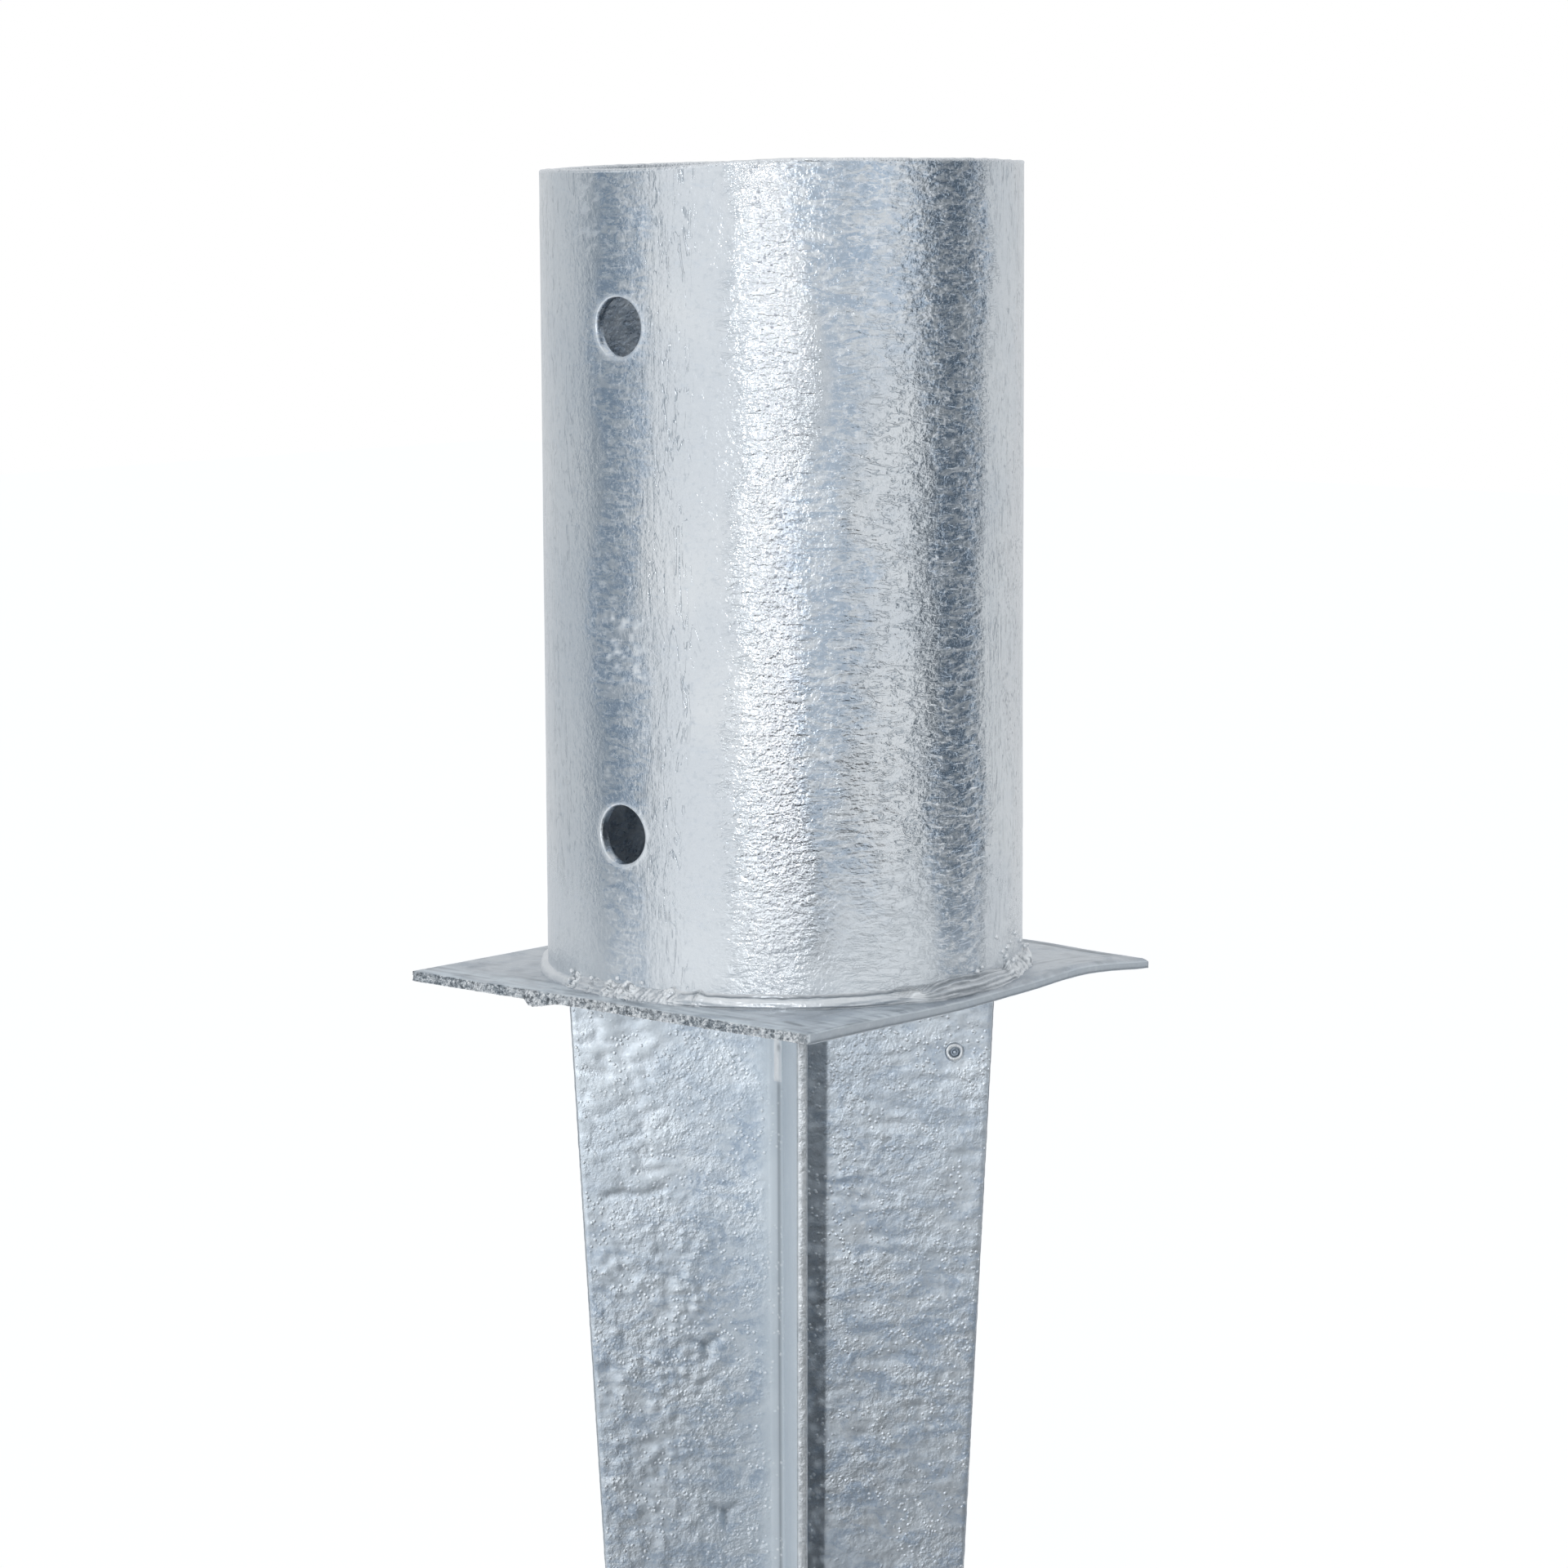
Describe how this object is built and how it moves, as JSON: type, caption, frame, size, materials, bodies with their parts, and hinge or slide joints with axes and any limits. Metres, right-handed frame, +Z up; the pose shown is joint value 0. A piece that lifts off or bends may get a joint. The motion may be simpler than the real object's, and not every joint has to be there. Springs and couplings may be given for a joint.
{
  "type": "post anchor",
  "caption": "Driven ground anchor for a round post: a tubular sleeve with cross-drilled bolt holes on a square plate, above a tapering cross-shaped spike.",
  "frame": {"origin": "centre of the plate's underside, which lies on the ground once the spike is driven in", "axes": "+Z up along the sleeve's axis; the plate's sides lie along X and Y, the fins along its diagonals; the bolts run along Y, with the front at -Y"},
  "size_m": [0.1, 0.1, 0.75],
  "materials": {
    "zinc_sleeve": "hot-dip galvanised, bright satin with a fine orange-peel texture",
    "zinc_plate": "hot-dip galvanised, satin, with rough sheared edges",
    "zinc_spike": "hot-dip galvanised, bluish mottled satin with zinc runs and pimples",
    "zinc_weld": "smooth galvanised weld bead"
  },
  "bodies": {
    "root": {"post_sleeve": "zinc_sleeve", "base_plate": "zinc_plate", "front_spike_angle": "zinc_spike", "rear_spike_angle": "zinc_spike", "sleeve_weld": "zinc_weld", "seam_welds_right": "zinc_weld", "seam_welds_left": "zinc_weld", "fin_welds_front_right": "zinc_weld", "fin_welds_back_right": "zinc_weld", "fin_welds_back_left": "zinc_weld", "fin_welds_front_left": "zinc_weld"}
  },
  "joints": []
}
